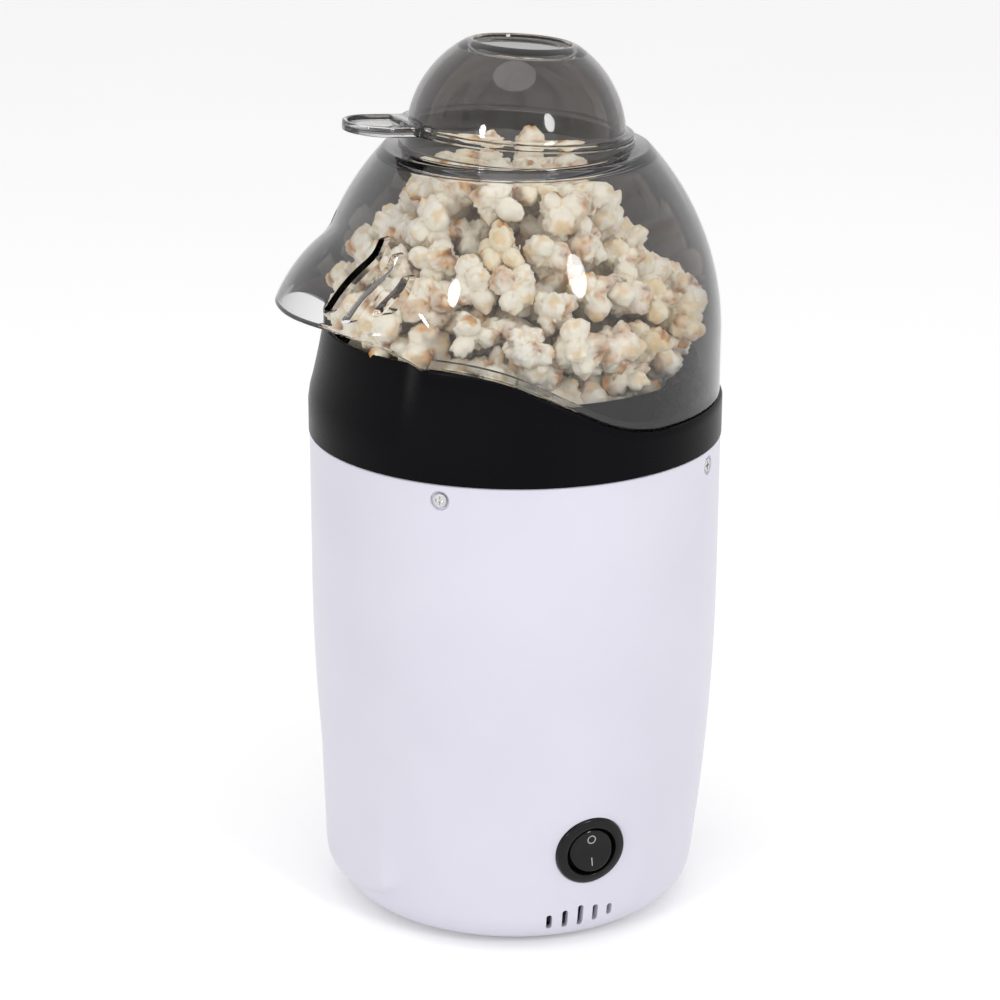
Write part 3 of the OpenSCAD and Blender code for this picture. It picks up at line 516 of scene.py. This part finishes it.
# ---- collar ----
def rim_z(y):
    """Height of the sweeping collar edge: a crest beside the chute, low at the back."""
    bend, lean = 60.0, math.atan(0.5)
    y0 = -47.0
    y1 = y0 + bend * math.sin(lean)
    drop = bend * (1 - math.cos(lean))
    y2 = y1 + (RIM_HIGH - RIM_LOW - 2 * drop) / math.tan(lean)
    y3 = y2 + bend * math.sin(lean)
    if y <= y0:
        return RIM_HIGH
    if y <= y1:
        return RIM_HIGH - bend + math.sqrt(bend**2 - (y - y0) ** 2)
    if y <= y2:
        return RIM_HIGH - drop - (y - y1) * math.tan(lean)
    if y <= y3:
        return RIM_LOW + bend - math.sqrt(bend**2 - (y3 - y) ** 2)
    return RIM_LOW - 0.6 * (y - y3) / (90 - y3)


def collar_section(angle):
    t = math.radians(angle)
    rim = rim_z(-65.0 * math.cos(t))
    rim_in = rim_z(-63.4 * math.cos(t))
    ring_top = min(LIP_Z, rim_z(-RING_OUT * math.cos(t)) - 0.1)
    out = BODY_R + 0.3
    side = (line((out, SEAM_Z), (out, rim - 1.0), 6) + [(out - 0.25, rim - 0.35), (out - 0.8, rim)]
            + [(CHANNEL_OUT + 0.6, rim_in), (CHANNEL_OUT + 0.1, rim_in - 0.4)]
            + line((CHANNEL_OUT, rim_in - 1.2), (CHANNEL_OUT, CHANNEL_Z), 3)
            + line((RING_OUT, CHANNEL_Z), (RING_OUT, ring_top - 0.8), 3)
            + [(RING_OUT - 0.5, ring_top), (RING_R + 0.6, ring_top), (RING_R, ring_top - 0.7)])
    top = RIM_HIGH - 0.4
    front = ([(out, SEAM_Z), (out, 163), (out, 168), (65.3, 172), (64.2, 176), (63.3, 180), (62.4, 184)]
             + [(60.85, top - 1.0), (60.5, top - 0.2)]
             + [(60.1, top), (59.7, top)]
             + line((59.6, top - 0.1), (59.4, top - 0.3), 3)
             + line((59.2, top - 0.4), (58.9, top - 0.6), 3)
             + [(58.7, top - 0.9), (58.45, top - 1.6), (58.4, top - 3)])
    lean_in = 1 - smooth(33, 43, abs(angle))
    upper = [(mix(a[0], b[0], lean_in), mix(a[1], b[1], lean_in)) for a, b in zip(side, front)]
    throat = CHAMBER_R + 0.5
    return upper + [(RING_R, LIP_Z - 3), (49, 172.2), (throat, CHANNEL_Z), (throat, FLANGE_TOP),
                    (SKIRT_IN, FLANGE_TOP), (SKIRT_IN, SKIRT_Z), (SKIRT_OUT, SKIRT_Z),
                    (SKIRT_OUT, SEAM_Z)]


def collar():
    ob = turned("collar_moulding", collar_section, 480, black_plastic)
    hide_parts("collar")
    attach(ob, "base")


# ---- hood ----
def dome_r(z, inset=0.0):
    r = DOME_ARC - inset
    if z < DOME_Z:
        return HOOD_R - inset
    return HOOD_R - DOME_ARC + math.sqrt(max(0.0, r * r - (z - DOME_Z) ** 2))


def chute_reach(angle, z, inset=0.0):
    """Distance of the chute's outside from the axis, or 0 where the chute isn't."""
    t = math.radians(angle)
    ball = math.sqrt(max(0.0, (BALL_R - inset) ** 2 - (z - BALL_Z) ** 2))
    c = min(ball, CHUTE_R - inset)
    q = c * c - (CHUTE_Y * math.sin(t)) ** 2
    if q <= 0 or abs(angle) >= 90:
        return 0.0
    return CHUTE_Y * math.cos(t) + math.sqrt(q)


def hood_surface(angle, z, inset=0.0):
    return soft_max(dome_r(z, inset), chute_reach(angle, z, inset), 2.2)


def mouth_z(angle):
    """Height of the arched edge of the chute at an angle from the front."""
    bend = 45.0
    z = CHUTE_TIP_Z
    for _ in range(20):
        y = -hood_surface(angle, z) * math.cos(math.radians(angle))
        z = CHUTE_TIP_Z - bend + math.sqrt(max(0.0, bend**2 - (y + CHUTE_Y + CHUTE_R) ** 2))
    return z


def hood_section(angle):
    t = math.radians(angle)
    cos_t = math.cos(t)
    in_front = 1 - smooth(41.0, 44.0, abs(angle))
    rim = rim_z(-HOOD_R * cos_t)
    low = rim + CLEAR
    if in_front > 0:
        low = mix(low, mouth_z(angle), in_front)
    rows = 64
    top = DOME_TOP - 0.6
    heights = [mix(low + 0.5, top, i / rows) for i in range(rows + 1)]
    seat = SEAT_Z + NECK_R * cos_t * math.tan(math.radians(SEAT_TILT))
    outer = [(hood_surface(angle, z), z) for z in heights]
    inner_top = DOME_CEILING - 0.4
    inner = [(hood_surface(angle, z, HOOD_WALL), z)
             for z in [mix(inner_top, low + 0.5, i / rows) for i in range(rows + 1)]]
    neck_low = DOME_TOP + 0.25
    ceiling = dome_r(inner_top, HOOD_WALL)
    neck = [(dome_r(DOME_TOP - 0.1) - 0.1, DOME_TOP - 0.1), (dome_r(DOME_TOP) - 0.5, DOME_TOP),
            (NECK_R + 0.5, DOME_TOP + 0.05), (NECK_R, neck_low), (NECK_R, mix(neck_low, seat, 0.5)),
            (NECK_R, seat - 0.4), (NECK_R - 0.4, seat), (NECK_IN + 0.4, seat), (NECK_IN, seat - 0.4),
            (NECK_IN, DOME_CEILING + 0.5), (NECK_IN + 0.6, DOME_CEILING), (ceiling - 1, DOME_CEILING)]
    edge_out = (hood_surface(angle, low) - 0.35, low)
    edge_in = (hood_surface(angle, low, HOOD_WALL) + 0.35, low)
    spigot = [(HOOD_R - HOOD_WALL, rim + 2.5), (SPIGOT_IN, rim + 2.5), (SPIGOT_IN, rim - 1),
              (SPIGOT_IN, rim - 4.7),
              (SPIGOT_IN + 0.3, rim - 5), (SPIGOT_OUT - 0.3, rim - 5), (SPIGOT_OUT, rim - 4.7),
              (SPIGOT_OUT, low - 0.1)]
    spigot = [(mix(r, edge_in[0], in_front), mix(z, edge_in[1], in_front)) for r, z in spigot]
    closing = [(mix(SPIGOT_OUT + 0.2, mix(edge_in[0], edge_out[0], 0.5), in_front), low)]
    return [edge_out] + outer + neck + inner + spigot + closing


def hood():
    ob = turned("hood_moulding", hood_section, 480, hood_clear)
    ahead = Matrix.Rotation(math.radians(-90), 4, "Z")
    cuts = []
    for side in (-1, 1):
        for off, low, high in SLOTS:
            place = Matrix.Translation((side * off * MM, 0, 0)) @ ahead
            cuts.append(capsule(1.2, low, high, 40, 85, place))
    boolean(ob, cuts, "DIFFERENCE")
    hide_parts("hood")
    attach(ob, "hood")


# ---- measuring cup ----
def cup():
    seat = Matrix.Translation((0, 0, SEAT_Z * MM)) @ Matrix.Rotation(math.radians(-SEAT_TILT), 4, "X")
    foot_z = CUP_MID + math.sqrt(BOWL_R**2 - CUP_FOOT_R**2)
    inner_r = BOWL_R - CUP_WALL

    def angle_at(z, r):
        return math.degrees(math.asin((z - CUP_MID) / r))

    profile = ([(0, foot_z - 1.4)] + line((2, foot_z - 1.4), (CUP_FOOT_R - 2.2, foot_z - 1.4), 4)
               + [(CUP_FOOT_R - 1.7, foot_z - 1.1), (CUP_FOOT_R - 1.5, foot_z - 0.3),
                  (CUP_FOOT_R - 1.2, foot_z - 0.02),
                  (CUP_FOOT_R - 0.5, foot_z), (CUP_FOOT_R - 0.05, foot_z - 0.2)]
               + arc(0, CUP_MID, BOWL_R, angle_at(foot_z - 0.6, BOWL_R), angle_at(2.4, BOWL_R), 30)
               + [(BOWL_R - 0.1, 1.8), (BOWL_R + 0.5, 1.6), (36.2, 1.6), (36.55, 1.3), (36.6, 0.8),
                  (36.55, 0.3), (36.2, 0), (34.4, 0), (CUP_R, -0.4)]
               + [(CUP_R, -5.6), (33.9, -6), (inner_r + 0.6, -6), (inner_r, -5.6), (inner_r, CUP_MID)]
               + arc(0, CUP_MID, inner_r, 3, angle_at(foot_z - 3.6, inner_r), 28)
               + line((14.5, foot_z - 3.25), (2, foot_z - 3.2), 4) + [(0, foot_z - 3.2)])
    bowl = lathe("cup_moulding", profile, 192, cup_clear, seat)

    def tongue(inset, z):
        half = HANDLE_HALF - inset
        back = -NECK_R - (1.6 if inset > 1 else CLEAR)
        turn = [math.radians(180 + 180 * i / 32) for i in range(33)]
        end = -HANDLE_REACH + HANDLE_HALF
        return ([(-half, mix(back, end, i / 4), z) for i in range(4)]
                + [(half * math.cos(a), end + half * math.sin(a), z) for a in turn]
                + [(half, mix(end, back, i / 4), z) for i in range(1, 5)])

    low, high = HANDLE_LOW, HANDLE_HIGH
    edge = ((0.5, low), (0.12, low + 0.15), (0, low + 0.5), (0, high - 0.5), (0.12, high - 0.15),
            (0.5, high), (1.1, high), (1.5, high - 0.15), (1.65, high - 0.5), (1.7, high - 1.4),
            (2.1, high - 1.6))
    grip = loft("grip", [tongue(inset, z) for inset, z in edge], cup_clear, seat)
    # The grip joins the flange through a short block
    corners = ((-11.8, -37.6), (11.8, -37.6), (11.8, -33.5), (-11.8, -33.5))
    web = loft("web", [[(x, y, z) for x, y in corners] for z in (0.2, high - 0.05)], cup_clear, seat)
    boolean(bowl, [grip, web], "UNION")
    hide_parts("measuring_cup")
    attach(bowl, "cup")


# ---- switch ----
PIVOT_X, ROCKER_R, DISH = -1.9, 7.7, 9.0


def switch():
    """Round bezel with a rolled edge, and a dished rocker marked O and I."""
    place = on_wall(0, SWITCH_Z) @ Matrix.Rotation(math.radians(90), 4, "Y")
    profile = ([(0, -19), (9.2, -19), (9.7, -18.5), (9.7, -1.5), (BEZEL_R - 0.3, -1.5),
                (BEZEL_R, -1.2), (BEZEL_R, -0.3)]
               + arc(BEZEL_R - 0.9, -0.3, 0.9, 0, 70, 6) + [(10.2, 0.72), (9.6, 0.9), (8.9, 0.9)]
               + arc(8.7, 0.5, 0.4, 90, 180, 4) + [(8.25, 0), (8.1, -1), (8.1, -8), (0, -8)])
    bezel = lathe("switch_bezel", profile, 128, black_gloss, place)
    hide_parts("switch_housing")
    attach(bezel, "base")

    place = (on_wall(0, SWITCH_Z) @ Matrix.Translation((PIVOT_X * MM, 0, 0))
             @ Matrix.Rotation(math.radians(-DISH), 4, "Y"))

    def face(y, z):
        """Height of the rocker's dished face: two flats that meet in a soft valley."""
        slope = math.tan(math.radians(DISH))
        return 2.2 + (math.sqrt(z * z + 0.8) - 0.5) * slope

    bm = bmesh.new()
    rings, steps = [], 72
    for share, drop in ((0.12, 0), (0.3, 0), (0.5, 0), (0.7, 0), (0.86, 0), (0.94, 0.05),
                        (0.98, 0.25), (1.0, 0.6), (1.0, 2.0), (0.97, 4.0)):
        ring = []
        for i in range(steps):
            a = math.tau * i / steps
            y, z = math.cos(a), math.sin(a)
            top = face(y * ROCKER_R, z * ROCKER_R)
            rim = math.sqrt(max(0, ROCKER_R**2 - top**2))
            y, z = y * rim * share, z * rim * share
            ring.append(bm.verts.new(place @ (Vector((face(y, z) - drop, y, z)) * MM)))
        rings.append(ring)
    join_rings(bm, rings, True, False)
    middle = bm.verts.new(place @ (Vector((face(0, 0), 0, 0)) * MM))
    for i in range(steps):
        bm.faces.new((middle, rings[0][i], rings[0][(i + 1) % steps]))
    bm.faces.new(rings[-1])
    rocker = add_object("switch_rocker_cap", bm, black_gloss)
    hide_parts("switch_rocker")
    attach(rocker, "rocker")

    def mark(name, loops):
        bm = bmesh.new()
        rings = [[bm.verts.new(place @ (Vector((face(y, z) + lift, y, z)) * MM))
                  for y, z, lift in loop] for loop in loops]
        join_rings(bm, rings, True, len(loops) > 2)
        if len(loops) == 2:
            bm.faces.new(rings[0])
            bm.faces.new(rings[1])
        ob = add_object(name, bm, mark_paint)
        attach(ob, "rocker")

    turn = [math.tau * i / 40 for i in range(40)]
    mark("switch_mark_off", [[(r * math.cos(a), 3.7 + r * math.sin(a), lift) for a in turn]
                             for r, lift in ((1.45, 0.0), (1.4, 0.05), (1.15, 0.05), (1.1, 0.0))])
    bar_ends = [(-0.16, -5.0), (0.16, -5.0), (0.16, -4.0), (0.16, -3.0), (0.16, -2.4),
                (-0.16, -2.4), (-0.16, -3.0), (-0.16, -4.0)]
    mark("switch_mark_on", [[(y, z, lift) for y, z in bar_ends] for lift in (-0.05, 0.05)])


# ---- popcorn: contents of the hood, so it has no solid in part.scad ----
def kernel_radius(way, lobes):
    """Distance of a popped kernel's surface from its middle, and how deep in a fold it is."""
    reach = []
    for middle, size in lobes:
        along = way.dot(middle)
        q = size * size - middle.length_squared + along * along
        if q > 0:
            reach.append(along + math.sqrt(q))
    reach.sort()
    first = reach[-1]
    second = reach[-2] if len(reach) > 1 else 0.0
    return soft_max(first, second, 0.5), 1 - smooth(0.0, 1.3, first - second)


def any_way(rng):
    return Vector((rng.gauss(0, 1), rng.gauss(0, 1), rng.gauss(0, 1))).normalized()


def kernel(rng, index):
    """One popped kernel: petals of several sizes with folds between them and scraps of brown hull."""
    lobes, ways = [(Vector(), 3.8)], []
    for _ in range(rng.randint(5, 7)):
        way = max((any_way(rng) for _ in range(6)), key=lambda v: min([(v - w).length for w in ways] or [1]))
        ways.append(way)
        middle = way * rng.uniform(3.0, 5.4)
        lobes.append((middle, rng.uniform(2.6, 4.4)))
        for _ in range(rng.randint(2, 4)):
            lobes.append((middle + (way + any_way(rng)).normalized() * rng.uniform(1.4, 2.8),
                          rng.uniform(1.5, 2.6)))
    hulls = [(rng.choice(ways) + any_way(rng) * 0.9).normalized() for _ in range(6)]
    shift = Vector((index * 7.3, 2.1, 5.7))
    bm = bmesh.new()
    bmesh.ops.create_icosphere(bm, subdivisions=5, radius=1)
    tone_and_fold_shade = bm.verts.layers.float_color.new("tone_and_fold_shade")
    for v in bm.verts:
        way = v.co.normalized()
        r, fold = kernel_radius(way, lobes)
        crease = abs(noise.noise(way * 3.4 + shift))
        crinkle = abs(noise.noise(way * 8 + shift))
        r += crease * 1.7 + noise.noise(way * 2.2 - shift) * 0.8 + crinkle * 0.9
        r += noise.noise(way * 17 + shift) * 0.16
        fold = max(fold, 0.9 * (1 - smooth(0.0, 0.09, crease)), 0.5 * (1 - smooth(0.0, 0.06, crinkle)))
        near = max(way.dot(h) for h in hulls)
        hull = smooth(0.90, 0.94, near + 0.10 * noise.noise(way * 9 + shift)) * (0.35 + 0.65 * fold)
        v.co = way * r * MM
        # Red is the fold depth, which the popcorn material uses for painted shade; green is the hull.
        v[tone_and_fold_shade] = (fold, hull, 0, 1)
    mesh = bpy.data.meshes.new("kernel")
    bm.to_mesh(mesh)
    bm.free()
    ob = bpy.data.objects.new("kernel", mesh)
    bpy.context.scene.collection.objects.link(ob)
    thin = ob.modifiers.new("thin", "DECIMATE")
    thin.ratio = KERNEL_FACES
    graph = bpy.context.evaluated_depsgraph_get()
    light = bpy.data.meshes.new_from_object(ob.evaluated_get(graph))
    bpy.data.objects.remove(ob)
    return light


def heap_radius(z):
    """Outside of the heap: as wide as the hood at its shoulder, a cone up into the neck."""
    steps = ((168, 44), (178, 53.5), (186, 56), (193, 57.5), (197, 61), (201, 61), (204, 58), (211, 53),
             (222, 45), (234, 38), (243, 29), (252, 21))
    for (z0, r0), (z1, r1) in zip(steps, steps[1:]):
        if z <= z1:
            return mix(r0, r1, (z - z0) / (z1 - z0))
    return 0.0


# The side where the heap has slid down a little, and how far apart kernel middles stay
HOLLOW = Vector((0.4, 0.917, 0))
SPACING = 12.2


def heap_places(rng):
    """Kernel middles, spread evenly through the outer layers of the heap and the chute."""
    half = 6.5
    places = []

    def free(p, gap):
        return all((p - q).length > gap for q in places)

    for layer, tries in ((0, 9000), (1, 5000)):
        for _ in range(tries):
            z = rng.uniform(174, 242)
            depth = half + layer * 11 + rng.uniform(0, 2.5)
            a = rng.uniform(-math.pi, math.pi)
            way = Vector((math.sin(a), -math.cos(a), 0))
            hollow = 0.17 * max(0.0, way.dot(HOLLOW)) * smooth(198, 212, z)
            r = heap_radius(z + layer * 4) * (1 - hollow) - depth
            p = way * r + Vector((0, 0, z))
            if r >= 2 and free(p, SPACING):
                places.append(p)
    for _ in range(800):
        p = Vector((rng.uniform(-20, 32), rng.uniform(-62, -46), rng.uniform(200.5, 206)))
        if (p - Vector((0, -CHUTE_Y, p.z))).length < CHUTE_R - 11 and p.dot(HOLLOW) > -47 and free(p, 12.0):
            places.append(p)
    return places


def popcorn():
    rng = random.Random(7)
    kinds = [kernel(rng, i) for i in range(KERNEL_KINDS)]
    bm = bmesh.new()
    for p in heap_places(rng):
        one = rng.choice(kinds).copy()
        angle = rng.uniform(0, math.tau)
        axis = Vector((rng.gauss(0, 1), rng.gauss(0, 1), rng.gauss(0, 1)))
        turn = Matrix.Rotation(angle, 4, axis)
        size = rng.uniform(0.88, 1.12)
        shape = Matrix.Diagonal((size, size * rng.uniform(0.85, 1), size, 1))
        one.transform(Matrix.Translation(p * MM) @ turn @ shape)
        warm = rng.random()
        for item in one.color_attributes["tone_and_fold_shade"].data:
            item.color[2] = warm
        bm.from_mesh(one)
        bpy.data.meshes.remove(one)
    ob = add_object("popcorn", bm, popped, 180)
    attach(ob, "base")


# ---- finishes of the solids that stay ----
def streaked(name, dark, light, rough, grain, metal=1.0):
    """Drawn, turned or pressed surface: streaks along the way where grain is small."""
    m, nodes, links, shader = new_material(name)
    coord = add_node(nodes, "ShaderNodeTexCoord")
    stretch = add_node(nodes, "ShaderNodeVectorMath", operation="MULTIPLY")
    links.new(coord.outputs["Object"], stretch.inputs[0])
    stretch.inputs[1].default_value = grain
    tex = add_node(nodes, "ShaderNodeTexNoise")
    tex.inputs["Scale"].default_value = 1
    tex.inputs["Detail"].default_value = 4
    links.new(stretch.outputs[0], tex.inputs["Vector"])
    links.new(ramp(nodes, links, tex.outputs[0], [(0.35, dark), (0.65, light)]), shader.inputs["Base Color"])
    links.new(ramp(nodes, links, tex.outputs[0], [(0.3, grey(rough[0])), (0.7, grey(rough[1]))]),
              shader.inputs["Roughness"])
    bump = add_node(nodes, "ShaderNodeBump")
    bump.inputs["Strength"].default_value = 0.12
    bump.inputs["Distance"].default_value = 0.0001
    links.new(tex.outputs[0], bump.inputs["Height"])
    links.new(bump.outputs[0], shader.inputs["Normal"])
    shader.inputs["Metallic"].default_value = metal
    return m


def dress():
    """Gives every solid that is still shown its own finish, outside and inside."""
    along, around, every = (900, 900, 60), (60, 60, 1500), (700, 700, 700)
    finishes = (
        (white_plastic, "base_plate"),
        (rubber, "rubber_feet"),
        (nylon_dark, "cord_gland gland_nut"),
        (streaked("plated_steel", grey(0.52), grey(0.66), (0.22, 0.36), every),
         "collar_screws base_screws flange_screws fan_housing_screws motor_screws thermostat_rivets"),
        (streaked("spun_aluminium", grey(0.62), grey(0.72), (0.25, 0.4), around), "popping_chamber"),
        (streaked("steel_sheet", grey(0.48), grey(0.6), (0.28, 0.42), along), "heater_shroud fuse_clip"),
        (streaked("motor_steel", grey(0.36), grey(0.45), (0.3, 0.45), around), "motor_can motor_shaft"),
        (streaked("copper_wire", (0.5, 0.21, 0.09), (0.68, 0.33, 0.16), (0.3, 0.45), (120, 120, 2600)),
         "motor_armature"),
        (streaked("resistance_wire", (0.14, 0.12, 0.11), (0.24, 0.2, 0.17), (0.5, 0.65), every),
         "heating_coil"),
        (streaked("brass", (0.58, 0.44, 0.18), (0.72, 0.56, 0.27), (0.25, 0.38), every),
         "switch_terminals"),
        (streaked("mica", (0.46, 0.36, 0.21), (0.64, 0.52, 0.34), (0.25, 0.5), (150, 150, 50), metal=0),
         "mica_plate_lengthwise mica_plate_crosswise"),
        (streaked("board", (0.02, 0.09, 0.035), (0.035, 0.14, 0.055), (0.3, 0.4), (90, 900, 90), metal=0),
         "rectifier_board"),
        (plastic("fibre", (0.55, 0.5, 0.4), (0.7, 0.65, 0.54), (0.85, 0.95), bump=0.6, cloud=160,
                 specular=0.1),
         "chamber_gasket"),
        (plastic("ceramic", (0.72, 0.69, 0.63), (0.8, 0.77, 0.71), (0.35, 0.5), bump=0.1, cloud=60),
         "thermostat thermal_fuse"),
        (plastic("housing_plastic", grey(0.03), grey(0.045), (0.45, 0.6), bump=0.15), "fan_housing"),
        (plastic("fan_plastic", grey(0.015), grey(0.022), (0.35, 0.45), bump=0.06), "fan_impeller"),
        (plastic("magnet", grey(0.025), grey(0.04), (0.6, 0.75), bump=0.3, cloud=120), "motor_magnets"),
        (plastic("end_cap", grey(0.008), grey(0.014), (0.4, 0.55), bump=0.1), "motor_end_cap"),
        (plastic("diode", grey(0.006), grey(0.012), (0.35, 0.5), bump=0.15), "rectifier_diodes"),
        (plastic("block_nylon", (0.7, 0.69, 0.62), (0.78, 0.77, 0.7), (0.4, 0.5), bump=0.05),
         "terminal_block"),
        (plastic("wire_black", grey(0.01), grey(0.016), (0.35, 0.45), bump=0.05), "wire_block_to_switch"),
        (plastic("wire_red", (0.4, 0.02, 0.012), (0.5, 0.03, 0.02), (0.35, 0.45), bump=0.05),
         "wire_switch_to_thermostat wire_thermostat_to_fuse"),
    )
    for material, nodes in finishes:
        for node in nodes.split():
            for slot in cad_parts[node].material_slots:
                slot.material = material


camera()
studio()
body()
collar()
hood()
cup()
switch()
popcorn()
dress()
